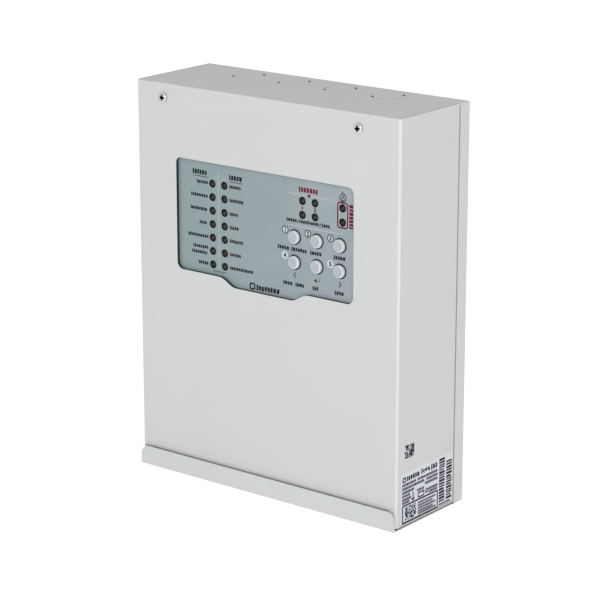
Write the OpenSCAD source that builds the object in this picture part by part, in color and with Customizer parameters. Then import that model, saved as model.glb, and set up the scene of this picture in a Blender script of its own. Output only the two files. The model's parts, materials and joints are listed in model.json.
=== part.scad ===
// Fire alarm control panel: a two-part sheet steel case with a recessed display,
// six push buttons, a main board, a power supply and two standby batteries.
// Millimetres. +X right, +Y back to the wall, +Z up. Origin: centre of the back face.
// Modules work in case places: x from the middle, y back from the front sheet,
// z up from the underside. placed() moves them into the part's frame.

/* [Case] */
// Width of the case
case_w = 270; // [268:1:290]
// Height of the case
case_h = 336; // [332:1:350]
// Depth of the case, from the cover's front to the wall
case_d = 93; // [93:1:105]
// Thickness of the folded steel sheet
sheet = 1.2; // [1:0.1:1.3]
// Outer radius of the cover's two upright folds
fold_r = 2.4; // [2:0.1:3]
// Height of the lip that the cover stands behind
lip_h = 16.4; // [15:0.2:18]
// Radius of the lip's top corners
lip_corner_r = 8; // [4:0.5:10]
// Depth of the rear box's own side strips, behind the cover's seam
side_strip = 12.5; // [11:0.5:14]

/* [Window] */
// Middle of the window, across
window_x = -1.2; // [-3:0.1:3]
// Width of the window
window_w = 183.4; // [182:0.2:186]
// Height of the window's straight lower edge above the underside
window_z = 180.8; // [180:0.2:182]
// Height of the window
window_h = 95; // [94:0.2:97]
// How far the bulge hangs below the window's lower edge
bulge_drop = 7; // [5:0.5:8]
// Width of the bulge at its lower edge
bulge_w = 63; // [50:1:70]
// Run of the bulge's sloping sides
bulge_slope = 12; // [8:1:16]
// Depth of the printed film behind the cover's front
window_recess = 2.8; // [2.4:0.1:3]

/* [Lamps and buttons] */
// Diameter of a lamp
led_d = 5; // [4:0.1:5]
// Spacing of the lamps in a column
led_pitch = 11.4; // [10.6:0.1:11.4]
// Diameter of a button cap
button_d = 10.6; // [10:0.2:12]
// Spacing of the buttons across
button_pitch_x = 22.8; // [20:0.2:23]
// Spacing of the two button rows
button_pitch_z = 21; // [19:0.5:21]
// Travel of a button
button_travel = 0.5; // [0.3:0.1:0.6]

/* [Knockouts and holes] */
// Diameter of a cable knockout in the top
knockout_d = 26; // [20:1:30]
// Spacing of the knockouts
knockout_pitch = 48; // [40:1:50]
// Radius of a wall fixing hole
wall_hole_r = 3; // [2.5:0.1:3]

/* [Inside] */
// Length of a standby battery
battery_l = 178; // [160:1:178]
// Thickness of a standby battery
battery_t = 34; // [28:1:34]
// Height of a standby battery without its tabs
battery_h = 60; // [50:1:62]
// Height of the main board
main_h = 162; // [150:1:162]

/* [Hidden] */

$fn = 48;
sheet_white = "#d4d6d7";
zinc = "silver";
board_green = "#1f6b3f";
plastic_black = "#1b1b1c";

half_w = case_w / 2;
back_y = case_d - sheet;            // inner face of the back plate
seam_y = case_d - side_strip;       // front edge of the rear side strips
seam_gap = 1.6;                     // room for the cover's rear edge to swing
cover_back_y = seam_y - seam_gap;
cover_base_z = 2;                   // cover's lower edge, above the bottom plate
cover_gap = 0.1;                    // between the cover and the box's front flange
flange_y = sheet + cover_gap;
flange_drop = 8;                    // how far the front flange turns down from the top
top_half_w = half_w - sheet - 0.8;  // top plate, between the cover's sides
lip_y = -3;                         // lip's front face

knockout_ties = [50, 230];          // angles at which the slugs are still held

// cover screws: M4 pan heads
screw_x = [-105.6, 95.1];
screw_z = case_h - 12;
m4_clear_r = 2.2;
m4_shank_r = 1.9;
m4_head_r = 4;
m4_head_h = 2.4;
cover_screw_l = 9;
m3_shank_r = 1.4;
m3_clear_r = 1.5;
m3_head_r = 2.8;
m3_head_h = 1.9;

// display: printed film, steel chassis, board
film_t = 0.3;
film_half_w = 97;
film_z = [168, 283];
seal_w = 3;
seal_gap = 0.05;                    // the seal just clears the cover
film_y = window_recess;
chassis_y = film_y + film_t;
chassis_half_w = 104;
chassis_z = [166, 288];
chassis_foot = 12;
spacer_l = 6.3;
display_y = chassis_y + sheet + spacer_l;   // display board's front face
board_t = 1.6;
display_back_y = display_y + board_t;
display_half_w = 98;
display_z = [170, 284];
spacer_places = [for (dx = [-91, 0, 91], z = [174.5, 279.5]) [window_x + dx, z]];
chassis_screw_places = [for (s = [-1, 1], z = [190, 270]) [window_x + s * 110.5, z]];

// lamps: two columns of seven plus one, zone pairs, alarm pair
led_top_z = 257.8;
led_columns = [-56.3, -43.6];
led_rows = 7;
zone_x = [37.4, 50.1];
alarm_x = 77.6;
pair_z = [257.2, 245.7];
led_tip = 0.8;                      // lamp domes stand this far in front of the film
column_places = [for (x = led_columns, i = [0 : led_rows - 1]) [x, led_top_z - i * led_pitch]];

// buttons
button_x0 = 29.7;
button_z0 = 226.5;
button_top_y = -0.5;
button_hole_r = button_d / 2 + 0.7;
button_seat_y = chassis_y + sheet + 1.6;    // back of the cap's retaining flange
button_places = [for (row = [0, 1], i = [0 : 2])
    [button_x0 + i * button_pitch_x, button_z0 - row * button_pitch_z]];
switch_w = 12;
switch_h = 3.4;
switch_floor_y = display_y - 1.6;
stem_r = 2.2;

// main board
standoff_l = 10;
main_back_y = back_y - standoff_l;
main_y = main_back_y - board_t;     // main board's front face
main_half_w = 100;
main_z = [150, 150 + main_h];
main_screw_places = [for (x = [-95, 0, 95], z = [155, main_z[1] - 5]) [x, z]];
terminal_pitch = 5.08;
block_ways = 8;
block_d = 9;
block_h = 12;
top_blocks = [for (i = [0 : 3]) [-71 + i * 48 - 1, main_z[1] - 15]];
battery_plug = [-80, main_z[0] + 6];
psu_plug = [42, main_z[0] + 6];
power_ways = 2;
power_pitch = 7.5;
fuse_places = [[-78, main_z[1] - 27], [-48, main_z[1] - 27], [-18, main_z[1] - 27]];
relay_places = [[22, main_z[1] - 32], [46, main_z[1] - 32], [70, main_z[1] - 32]];
big_capacitors = [[-34, 262], [-12, 262]];
small_capacitors = [[8, 268], [20, 262], [-84, 176], [62, 172]];
header_place = [-1.2, 196];
ribbon_w = 20;

// power supply
psu_x = [56, 130];
psu_z = [8, 107];
psu_y = 62;
psu_lid_z = 93;
psu_ways = [64, 74, 94, 104, 114];
psu_terminal_y = 74;
mains_ways = [90, 98, 106, 114];
mains_x = [72, 120];
mains_z = [124, 146];
mains_y = 76;
wire_r = 1.2;
wire_hole_r = 1.7;
earth_stud_place = [62, 134];

// batteries stand on the bottom plate, one behind the other
battery_x = -128;
battery_y = [22, 22 + battery_t + 0.4];
battery_top = sheet + battery_h;
tab_inset = 8;
tab_h = 6;
bracket_y = 20.4;
grommet_place = [-60, 108];
grommet_r = 15;
wall_hole_x = 122;
wall_hole_z = [116, 316];

// ---- placing helpers -------------------------------------------------------

// from case places to the part's frame
module placed() {
    translate([0, -case_d, -case_h / 2]) children();
}

// box between two corners, given as a range on each axis
module span_box(x, y, z) {
    translate([x[0], y[0], z[0]]) cube([x[1] - x[0], y[1] - y[0], z[1] - z[0]]);
}

// cylinder along Y, standing at [x, z]
module y_rod(place, y, r) {
    translate([place[0], y[0], place[1]]) rotate([-90, 0, 0]) cylinder(h = y[1] - y[0], r = r);
}

// local +Z points out to the front, local +Y up
module facing_front(place, y) {
    translate([place[0], y, place[1]]) rotate([90, 0, 0]) children();
}

// local +Z points back to the wall, local +Y down
module facing_back(place, y) {
    translate([place[0], y, place[1]]) rotate([-90, 0, 0]) children();
}

// ---- outlines --------------------------------------------------------------

// arc that rounds the corner at b, between a and c, to radius r
function rounded_corner(a, b, c, r, steps = 6) =
    let (u = (a - b) / norm(a - b),
        v = (c - b) / norm(c - b),
        half = acos(u * v) / 2,
        middle = b + (u + v) / norm(u + v) * r / sin(half),
        start = b + u * r / tan(half) - middle,
        side = sign(v[0] * u[1] - v[1] * u[0]),
        turn = side * (180 - 2 * half))
    [for (i = [0 : steps])
        let (t = turn * i / steps)
        middle + [start[0] * cos(t) - start[1] * sin(t), start[0] * sin(t) + start[1] * cos(t)]];

function rounded_outline(points, radii) =
    let (n = len(points))
    [for (i = [0 : n - 1])
        each rounded_corner(points[(i + n - 1) % n], points[i], points[(i + 1) % n], radii[i])];

// display window, with the bulge in its lower edge, in X and Z
module window_outline() {
    w = window_w / 2;
    b = bulge_w / 2;
    points = [[-w, 0], [-b - bulge_slope, 0], [-b, -bulge_drop], [b, -bulge_drop],
        [b + bulge_slope, 0], [w, 0], [w, window_h], [-w, window_h]];
    radii = [6, 16, 12, 12, 16, 6, 6, 4.5];
    translate([window_x, window_z]) polygon(rounded_outline(points, radii));
}

// upright rectangle with round top corners, middle of its base at the origin
module tab_outline(w, h, r) {
    translate([-w / 2, 0]) square([w, h - r]);
    translate([-w / 2 + r, 0]) square([w - 2 * r, h]);
    for (s = [-1, 1]) translate([s * (w / 2 - r), h - r]) circle(r);
}

module rounded_square(w, h, r) {
    square([w - 2 * r, h], center = true);
    square([w, h - 2 * r], center = true);
    for (sx = [-1, 1], sy = [-1, 1]) translate([sx * (w / 2 - r), sy * (h / 2 - r)]) circle(r);
}

// ---- repeated hardware -----------------------------------------------------

// round disc whose top edge is rounded to radius edge
module rounded_button(r, h, edge) {
    rotate_extrude() polygon(concat([[0, 0], [r, 0]],
        [for (t = [0 : 15 : 90]) [r - edge + edge * cos(t), h - edge + edge * sin(t)]],
        [[0, h]]));
}

// pan-head screw with a cross recess: seat at z = 0, shank down
module pan_screw(shank_r, shank_l, head_r, head_h) {
    crown = head_h * 0.55;
    arm = head_r * 0.6;
    slot = head_r * 0.24;
    difference() {
        union() {
            translate([0, 0, -shank_l]) cylinder(h = shank_l + 0.1, r = shank_r);
            rounded_button(head_r, head_h, crown);
        }
        for (turn = [0, 90]) rotate([0, 0, turn])
            translate([-arm, -slot, head_h * 0.4]) cube([2 * arm, 2 * slot, head_h]);
    }
}

// lamp standing on its board: flange, body and dome
module lamp(r, h) {
    cylinder(h = 1, r = r + 0.4);
    cylinder(h = h - r, r = r);
    translate([0, 0, h - r]) intersection() {
        sphere(r);
        translate([-r, -r, 0]) cube([2 * r, 2 * r, r]);
    }
}

// chip with legs along its two long sides
module chip(w, h, t, legs) {
    leg_pitch = w / (legs + 1);
    translate([-w / 2, -h / 2, 0.2]) cube([w, h, t]);
    for (i = [1 : legs], s = [-1, 1]) translate([-w / 2 + i * leg_pitch, 0, 0]) {
        translate([-0.25, s > 0 ? h / 2 - 0.1 : -h / 2 - 1, 0]) cube([0.5, 1.1, 0.7]);
    }
}

// screw terminal block: wells open to the front, wire entries on the +Y side
module terminal_block(ways, pitch, d, h) {
    difference() {
        translate([-ways * pitch / 2, -d / 2, 0]) cube([ways * pitch, d, h]);
        for (i = [0 : ways - 1]) translate([(i - (ways - 1) / 2) * pitch, 0, 0]) {
            translate([0, -0.6, h - 3]) cylinder(h = 4, r = 1.9);
            translate([0, d / 2 - 3, h * 0.42]) rotate([-90, 0, 0]) cylinder(h = 4, r = wire_hole_r);
        }
    }
}

// slotted clamp screws that lie in a terminal block's wells
module clamp_screws(ways, pitch, h) {
    for (i = [0 : ways - 1]) translate([(i - (ways - 1) / 2) * pitch, -0.6, h - 3]) difference() {
        cylinder(h = 2, r = 1.7);
        translate([-2, -0.3, 1.3]) cube([4, 0.6, 1]);
    }
}

module capacitor_can(r, h) {
    difference() {
        cylinder(h = h, r = r);
        translate([0, 0, 2.2]) rotate_extrude() translate([r, 0]) circle(0.5, $fn = 16);
        for (turn = [0, 90]) rotate([0, 0, turn])
            translate([-r * 0.7, -0.15, h - 0.3]) cube([r * 1.4, 0.3, 1]);
    }
}

module box_header(w) {
    difference() {
        translate([-w / 2, -4.4, 0]) cube([w, 8.8, 8.5]);
        translate([-w / 2 + 1.2, -3.2, 2]) cube([w - 2.4, 6.4, 8]);
        translate([-2.2, -5, 4]) cube([4.4, 2, 6]);
    }
}

// round lead swept along smooth route points; no stretch of it runs along 'across'
function smooth(p, n) =
    [for (i = [0 : len(p) - 2], k = [0 : n - 1])
        let (t = k / n, a = p[max(i - 1, 0)], b = p[i], c = p[i + 1], d = p[min(i + 2, len(p) - 1)])
        0.5 * (2 * b + (c - a) * t + (2 * a - 5 * b + 4 * c - d) * t * t
            + (3 * b - a - 3 * c + d) * t * t * t),
    p[len(p) - 1]];

module lead(route, r, across, sides = 8, n = 4) {
    p = smooth(route, n);
    last = len(p) - 1;
    rings = [for (i = [0 : last])
        let (t = p[min(i + 1, last)] - p[max(i - 1, 0)],
            u = cross(t, across) / norm(cross(t, across)),
            v = cross(t, u) / norm(cross(t, u)))
        for (k = [0 : sides - 1]) p[i] + r * (cos(360 * k / sides) * u + sin(360 * k / sides) * v)];
    walls = [for (i = [0 : last - 1], k = [0 : sides - 1])
        let (a = i * sides + k, b = i * sides + (k + 1) % sides)
        [a, a + sides, b + sides, b]];
    polyhedron(rings, concat(walls, [[for (k = [0 : sides - 1]) k],
        [for (k = [sides - 1 : -1 : 0]) last * sides + k]]));
}

// ---- case ------------------------------------------------------------------

// round punched slug held by two small ties, seen as a fine ring and two notches
module knockout_marks(x) {
    ring_r = knockout_d / 2;
    translate([x, back_y - 22, case_h]) {
        translate([0, 0, -0.4]) difference() {
            cylinder(h = 1, r = ring_r + 0.2);
            translate([0, 0, -1]) cylinder(h = 3, r = ring_r - 0.2);
            for (turn = knockout_ties) rotate([0, 0, turn])
                translate([ring_r - 1.5, -2.6, -1]) cube([3, 5.2, 3]);
        }
        for (turn = knockout_ties) rotate([0, 0, turn])
            translate([ring_r - 1, -2.4, -0.8]) cube([2, 4.8, 1]);
    }
}

module rear_box() placed() color(sheet_white) difference() {
    union() {
        span_box([-half_w, half_w], [back_y, case_d], [0, case_h]);
        span_box([-top_half_w, top_half_w], [flange_y, case_d], [case_h - sheet, case_h]);
        span_box([-half_w, half_w], [seam_y, case_d], [case_h - sheet, case_h]);
        span_box([-top_half_w + 1.2, top_half_w - 1.2], [flange_y, flange_y + sheet],
            [case_h - flange_drop, case_h]);
        span_box([-half_w, half_w], [lip_y, case_d], [0, sheet]);
        translate([0, lip_y + sheet, 0]) rotate([90, 0, 0]) linear_extrude(sheet)
            tab_outline(case_w - 0.2, lip_h, lip_corner_r);
        for (s = [-1, 1]) {
            x = s > 0 ? half_w - sheet : -half_w;
            span_box([x, x + sheet], [seam_y, case_d], [0, case_h]);
            tab_x = s > 0 ? half_w - 2 * sheet - 0.3 : -half_w + sheet + 0.3;
            for (z = [134, 250]) span_box([tab_x, tab_x + sheet], [72, case_d], [z, z + 26]);
        }
    }
    for (i = [-1.5 : 1.5]) knockout_marks(i * knockout_pitch);
    for (s = [-1, 1], z = wall_hole_z) y_rod([s * wall_hole_x, z], [back_y - 1, case_d + 1], wall_hole_r);
    y_rod(grommet_place, [back_y - 1, case_d + 1], grommet_r);
    for (p = chassis_screw_places) y_rod(p, [back_y - 1, case_d + 1], m3_clear_r);
    for (p = bracket_screw_places()) translate([p[0], p[1], -1]) cylinder(h = 3, r = m3_clear_r);
}

// U-shaped cover: front sheet and two sides, folded round fold_r
module front_cover() placed() color(sheet_white) difference() {
    translate([0, 0, cover_base_z]) linear_extrude(case_h - cover_base_z) difference() {
        fold_outline(half_w, 0, fold_r);
        fold_outline(half_w - sheet, sheet, fold_r - sheet);
    }
    translate([0, 2 * sheet, 0]) rotate([90, 0, 0]) linear_extrude(3 * sheet) window_outline();
    for (x = screw_x) y_rod([x, screw_z], [-1, sheet + 1], m4_clear_r);
}

// block from y = front back to the cover's rear edge, with round front corners
module fold_outline(half, front, r) {
    translate([-half, front + r]) square([2 * half, cover_back_y - front - r + (front > 0 ? 1 : 0)]);
    translate([-half + r, front]) square([2 * half - 2 * r, 2 * r]);
    for (s = [-1, 1]) translate([s * (half - r), front + r]) circle(r);
}

module cover_screw(x) {
    facing_front([x, screw_z], 0) pan_screw(m4_shank_r, cover_screw_l, m4_head_r, m4_head_h);
}

module cover_screw_left() placed() color(zinc) cover_screw(screw_x[0]);

module cover_screw_right() placed() color(zinc) cover_screw(screw_x[1]);

// small angle welded under the top plate behind the flange, with a nut pressed into it
module nut_brackets() placed() color(zinc) {
    front = flange_y + sheet;
    under = case_h - sheet;
    for (x = screw_x) difference() {
        union() {
            span_box([x - 9, x + 9], [front, front + sheet], [screw_z - 9, under]);
            span_box([x - 9, x + 9], [front, front + 14], [under - sheet, under]);
            facing_back([x, screw_z], front + sheet) cylinder(h = 2.6, r = 4.1, $fn = 6);
        }
        y_rod([x, screw_z], [0, 10], m4_clear_r);
    }
}

// sticker on the cover's right side
module side_sticker(y, z) {
    span_box([half_w, half_w + 0.12], y, z);
}

module rating_label() placed() color("#dfe0ea") side_sticker([6.1, 77.6], [3.4, 47]);

module code_sticker() placed() color("#dfe0ea") side_sticker([10.2, 23.6], [58.6, 70]);

// ---- display ---------------------------------------------------------------

module lamp_and_button_holes(y, lamp_r, cap_r) {
    for (p = all_lamp_places()) y_rod(p, y, lamp_r);
    for (p = button_places) y_rod(p, y, cap_r);
}

function red_lamp_places() = [for (x = zone_x) [x, pair_z[0]], for (z = pair_z) [alarm_x, z]];
function yellow_lamp_places() = concat([for (i = [1 : len(column_places) - 1]) column_places[i]],
    [for (x = zone_x) [x, pair_z[1]]]);
function all_lamp_places() = concat([column_places[0]], yellow_lamp_places(), red_lamp_places());

module display_chassis() placed() color(zinc) difference() {
    union() {
        span_box([window_x - chassis_half_w, window_x + chassis_half_w], [chassis_y, chassis_y + sheet],
            chassis_z);
        for (s = [-1, 1]) {
            wall_x = window_x + (s > 0 ? chassis_half_w - sheet : -chassis_half_w);
            foot_x = window_x + (s > 0 ? chassis_half_w : -chassis_half_w - chassis_foot);
            span_box([wall_x, wall_x + sheet], [chassis_y, back_y], chassis_z);
            span_box([foot_x, foot_x + chassis_foot], [back_y - sheet, back_y], chassis_z);
        }
    }
    lamp_and_button_holes([0, 10], led_d / 2 + 0.7, button_hole_r);
    for (p = chassis_screw_places) y_rod(p, [back_y - 3, back_y + 1], m3_clear_r);
    // cable windows in the two walls
    for (z = [198, 256]) translate([-case_w, 46, z]) rotate([0, 90, 0])
        linear_extrude(2 * case_w) rounded_square(34, 56, 5);
}

module chassis_screws() placed() color(zinc) {
    for (p = chassis_screw_places)
        facing_front(p, back_y - sheet) pan_screw(m3_shank_r, 2.2, m3_head_r, m3_head_h);
}

module overlay_film() placed() color("#97a3a7") difference() {
    span_box([window_x - film_half_w, window_x + film_half_w], [film_y, film_y + film_t], film_z);
    lamp_and_button_holes([0, 10], led_d / 2 + 0.6, button_hole_r);
}

// black foam strip on the film that closes the gap behind the cover's window
module window_seal() placed() color(plastic_black) translate([0, film_y, 0]) rotate([90, 0, 0])
    linear_extrude(film_y - sheet - seal_gap) difference() {
        translate([window_x, window_z + window_h / 2 - bulge_drop / 2])
            rounded_square(window_w + 2 * seal_w, window_h + bulge_drop + 2 * seal_w, 6);
        window_outline();
    }

module display_board() placed() color(board_green) difference() {
    span_box([window_x - display_half_w, window_x + display_half_w], [display_y, display_back_y],
        display_z);
    for (p = spacer_places) y_rod(p, [0, 20], m3_clear_r);
}

module board_spacers() placed() color(zinc) {
    for (p = spacer_places) difference() {
        y_rod(p, [chassis_y + sheet, display_y], 3);
        y_rod(p, [chassis_y + sheet + 1, display_y + 1], m3_clear_r);
    }
}

module display_screws() placed() color(zinc) {
    for (p = spacer_places)
        facing_back(p, display_back_y) pan_screw(m3_shank_r, 5.5, m3_head_r, m3_head_h);
}

module lamps(places) {
    for (p = places) facing_front(p, display_y) lamp(led_d / 2, display_y - film_y + led_tip);
}

module leds_green() placed() color("#2b4b30") lamps([column_places[0]]);

module leds_yellow() placed() color("#5a4a20") lamps(yellow_lamp_places());

module leds_red() placed() color("#5a2020") lamps(red_lamp_places());

module tact_switches() placed() color(plastic_black) {
    for (p = button_places) difference() {
        facing_front(p, display_y) {
            translate([-switch_w / 2, -switch_w / 2, 0]) cube([switch_w, switch_w, switch_h - 0.6]);
            cylinder(h = switch_h, r = 4);
        }
        y_rod(p, [0, switch_floor_y], stem_r + 0.05);
    }
}

// cap with a round top edge, a retaining flange and a stem down into its switch
module button(i) {
    cap_r = button_d / 2;
    cap_h = button_seat_y - button_top_y;
    stem_l = switch_floor_y - button_travel - 0.1 - button_seat_y;
    facing_front(button_places[i], button_seat_y) difference() {
        union() {
            rounded_button(cap_r, cap_h, 1.4);
            cylinder(h = 1, r = button_hole_r + 0.8);
            translate([0, 0, -stem_l]) cylinder(h = stem_l + 1, r = stem_r);
        }
        difference() {
            translate([0, 0, -1]) cylinder(h = cap_h - 1.6, r = cap_r - 1.4);
            translate([0, 0, -2]) cylinder(h = cap_h + 2, r = stem_r);
        }
    }
}

module button_1() placed() color("#c9cbcc") button(0);

module button_2() placed() color("#c9cbcc") button(1);

module button_3() placed() color("#c9cbcc") button(2);

module button_4() placed() color("#c9cbcc") button(3);

module button_5() placed() color("#c9cbcc") button(4);

module button_6() placed() color("#c9cbcc") button(5);

module buzzer() placed() color(plastic_black) facing_back([-72, 205], display_back_y) difference() {
    cylinder(h = 9.5, r = 6);
    translate([0, 0, 8]) cylinder(h = 2, r = 1.2);
}

module display_chips() placed() color("#2a2a2b") {
    facing_back([-20, 240], display_back_y) chip(36, 7, 3.4, 14);
    facing_back([40, 248], display_back_y) chip(18, 7, 3.2, 8);
    facing_back([40, 226], display_back_y) chip(18, 7, 3.2, 8);
    facing_back([-66, 240], display_back_y) chip(10, 4, 1.6, 8);
    facing_back([-66, 252], display_back_y) chip(10, 4, 1.6, 8);
}

// one header on each board, face to face
module ribbon_headers() placed() color(plastic_black) {
    facing_back(header_place, display_back_y) box_header(26);
    facing_front(header_place, main_y) box_header(26);
}

// plugs that sit in the two headers, and the strip that arches between them
module ribbon_sockets() placed() color("#3a3a3c") {
    facing_back(header_place, display_back_y) translate([-11, -2.6, 2.4]) cube([22, 5.2, 9]);
    facing_front(header_place, main_y) translate([-11, -2.6, 2.4]) cube([22, 5.2, 9]);
}

ribbon_t = 1;
ribbon_y = [display_back_y + 11.4, main_y - 11.4];
ribbon_arch = 24;

// strip of even thickness that sags between the plugs, in Y and Z
function ribbon_mid(t) =
    [ribbon_y[0] + (ribbon_y[1] - ribbon_y[0]) * t, header_place[1] - ribbon_arch * (1 - cos(360 * t)) / 2];
function ribbon_normal(t) =
    let (d = ribbon_mid(t + 0.01) - ribbon_mid(t - 0.01)) [-d[1], d[0]] / norm(d);

module ribbon_cable() placed() color("#8f9295") {
    steps = 24;
    translate([header_place[0] - ribbon_w / 2, 0, 0]) rotate([90, 0, 90]) linear_extrude(ribbon_w)
        polygon([for (side = [-1, 1], k = [0 : steps])
            let (t = side < 0 ? k / steps : 1 - k / steps)
            ribbon_mid(t) + side * ribbon_t / 2 * ribbon_normal(t)]);
}

// ---- main board ------------------------------------------------------------

module main_board() placed() color(board_green) difference() {
    span_box([-main_half_w, main_half_w], [main_y, main_back_y], main_z);
    for (p = main_screw_places) y_rod(p, [main_y - 1, main_back_y + 1], m3_clear_r);
}

module main_board_standoffs() placed() color("gold") {
    for (p = main_screw_places) difference() {
        facing_front(p, back_y) cylinder(h = standoff_l, r = 3.2, $fn = 6);
        y_rod(p, [main_back_y - 1, main_back_y + 8], m3_clear_r);
    }
}

module main_board_screws() placed() color(zinc) {
    for (p = main_screw_places) facing_front(p, main_y) pan_screw(m3_shank_r, 7, m3_head_r, m3_head_h);
}

// entries of the lower blocks face down
module power_blocks() {
    for (p = [battery_plug, psu_plug]) facing_front(p, main_y) rotate([0, 0, 180]) children();
}

module field_terminals() placed() color("#2f8f4e") {
    for (p = top_blocks)
        facing_front(p, main_y) terminal_block(block_ways, terminal_pitch, block_d, block_h);
    power_blocks() terminal_block(power_ways, power_pitch, block_d, block_h);
}

module terminal_screws() placed() color(zinc) {
    for (p = top_blocks) facing_front(p, main_y) clamp_screws(block_ways, terminal_pitch, block_h);
    power_blocks() clamp_screws(power_ways, power_pitch, block_h);
}

module relays() placed() color("#22303c") {
    for (p = relay_places) facing_front(p, main_y) {
        translate([-9.5, -7.7, 0.4]) cube([19, 15.4, 15]);
        for (sx = [-1, 1], sy = [-1, 1]) translate([sx * 8, sy * 6.2, 0]) cylinder(h = 0.6, r = 0.8);
    }
}

module capacitors() placed() color("#23262e") {
    for (p = big_capacitors) facing_front(p, main_y) capacitor_can(8, 26);
    for (p = small_capacitors) facing_front(p, main_y) capacitor_can(4, 12);
}

module main_chips() placed() color("#2a2a2b") {
    facing_front([30, 226], main_y) chip(36, 13.6, 3.8, 20);
    facing_front([30, 204], main_y) chip(20, 7, 3.4, 8);
    facing_front([58, 204], main_y) chip(20, 7, 3.4, 8);
    facing_front([72, 236], main_y) chip(10, 4, 1.6, 8);
    facing_front([72, 224], main_y) chip(10, 4, 1.6, 8);
    facing_front([-40, 170], main_y) chip(10, 4, 1.6, 8);
}

module glass_fuses() placed() color("#c8cdd0") {
    for (p = fuse_places) translate([p[0], main_y - 5.4, p[1]]) rotate([0, 90, 0]) {
        translate([0, 0, -7]) cylinder(h = 14, r = 2.4);
        for (z = [-10, 5]) translate([0, 0, z]) cylinder(h = 5, r = 2.6);
    }
}

// each clip is a foot with two springy cheeks beside the fuse's end cap
module fuse_clips() placed() color(zinc) {
    for (p = fuse_places, s = [-1, 1]) facing_front([p[0] + s * 7.6, p[1]], main_y) {
        translate([-1.8, -3.2, 0]) cube([3.6, 6.4, 0.6]);
        for (side = [-1, 1]) translate([-1.8, side > 0 ? 2.7 : -3.2, 0]) cube([3.6, 0.5, 8.4]);
    }
}

module heatsink() placed() color("#b9bcbe") facing_front([-70, 246], main_y) difference() {
    translate([-16, -12, 0]) cube([32, 24, 25]);
    for (i = [0 : 6]) translate([-14 + i * 4.2, -20, 3]) cube([2.8, 16, 30]);
    for (i = [0 : 6]) translate([-14 + i * 4.2, 0, 3]) cube([2.8, 16, 30]);
}

// tab, body and three legs, flat against the heatsink's right side
module power_transistor() placed() color("#2a2a2b") facing_front([-54, 246], main_y) {
    translate([0, -5, 8]) cube([1.3, 10, 15]);
    translate([0, -5, 8]) cube([4.4, 10, 9]);
    for (i = [-1, 0, 1]) translate([2, i * 2.54 - 0.4, 0]) cube([0.6, 0.8, 8.2]);
}

// ---- power supply ----------------------------------------------------------

psu_floor_y = back_y - sheet;
psu_board_y = psu_floor_y - 4;
psu_post_places = [for (x = [62, 124], z = [14, 86]) [x, z]];
psu_screw_places = [for (s = [-1, 1], z = [20, 80]) [s, z]];

module psu_case() placed() color(zinc) difference() {
    union() {
        span_box(psu_x, [psu_floor_y, back_y], psu_z);
        for (x = [psu_x[0], psu_x[1] - sheet]) span_box([x, x + sheet], [psu_y, back_y], psu_z);
        span_box(psu_x, [psu_y, back_y], [psu_z[0], psu_z[0] + sheet]);
        for (p = psu_post_places) y_rod(p, [psu_board_y, psu_floor_y + 0.1], 2.5);
    }
    for (p = psu_screw_places) psu_side_hole(p);
}

module psu_side_hole(p) {
    x = p[0] < 0 ? psu_x[0] - 3 : psu_x[1] - 3;
    translate([x, psu_y + 5, p[1]]) rotate([0, 90, 0]) cylinder(h = 6, r = m3_clear_r);
}

// perforated lid that wraps the front and the two sides
module psu_lid() placed() color("#c4c6c8") difference() {
    union() {
        span_box([psu_x[0] - sheet, psu_x[1] + sheet], [psu_y - sheet, psu_y], [psu_z[0], psu_lid_z]);
        for (x = [psu_x[0] - sheet, psu_x[1]])
            span_box([x, x + sheet], [psu_y - sheet, psu_y + 11], [psu_z[0], psu_lid_z]);
    }
    for (p = psu_screw_places) psu_side_hole(p);
    // three rows of upright vent slots
    for (row = [0 : 2], i = [0 : 8])
        facing_front([psu_x[0] + 13 + i * 6, psu_z[0] + 20 + row * 25], psu_y + 3)
            linear_extrude(6) rounded_square(3, 16, 1.4);
}

module psu_screws() placed() color(zinc) {
    for (p = psu_screw_places)
        translate([p[0] < 0 ? psu_x[0] - sheet : psu_x[1] + sheet, psu_y + 5, p[1]])
            rotate([0, p[0] * 90, 0]) pan_screw(m3_shank_r, 2.6, m3_head_r, 1.3);
}

module psu_board() placed() color("#8a6d3b") {
    span_box([psu_x[0] + 2, psu_x[1] - 2], [psu_board_y - board_t, psu_board_y],
        [psu_z[0] + 3, psu_z[1] - 1]);
}

// wound transformer on its core, and the big capacitor below it
module psu_transformer() placed() color("#d9b93c") {
    face_y = psu_board_y - board_t;
    span_box([82, 106], [face_y - 17, face_y], [40, 62]);
    span_box([78, 110], [face_y - 11, face_y - 6], [36, 66]);
    y_rod([70, 30], [face_y - 19, face_y], 7);
}

module psu_terminals() placed() color(plastic_black) difference() {
    span_box([psu_ways[0] - 5, psu_ways[4] + 5], [psu_terminal_y, psu_board_y - board_t], [94, 105.5]);
    for (x = psu_ways) {
        y_rod([x, 98.4], [psu_terminal_y - 1, psu_terminal_y + 3], 2.6);
        translate([x, psu_terminal_y + 6, 101]) cylinder(h = 6, r = wire_hole_r);
    }
}

module mains_terminal_block() placed() color("#e4e2da") difference() {
    span_box(mains_x, [mains_y, back_y], mains_z);
    for (x = mains_ways) {
        for (z = [129, 141]) y_rod([x, z], [mains_y - 1, mains_y + 4], 2.4);
        translate([x, mains_y + 8, mains_z[0] - 1]) cylinder(h = 6, r = wire_hole_r);
        translate([x, mains_y + 8, mains_z[1] - 5]) cylinder(h = 6, r = wire_hole_r);
    }
    for (x = [94, 102, 110])
        span_box([x - 0.5, x + 0.5], [mains_y - 1, mains_y + 3], [mains_z[0] - 1, mains_z[1] + 1]);
    y_rod([79, 135], [mains_y - 1, mains_y + 1.2], 5.4);
}

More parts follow.
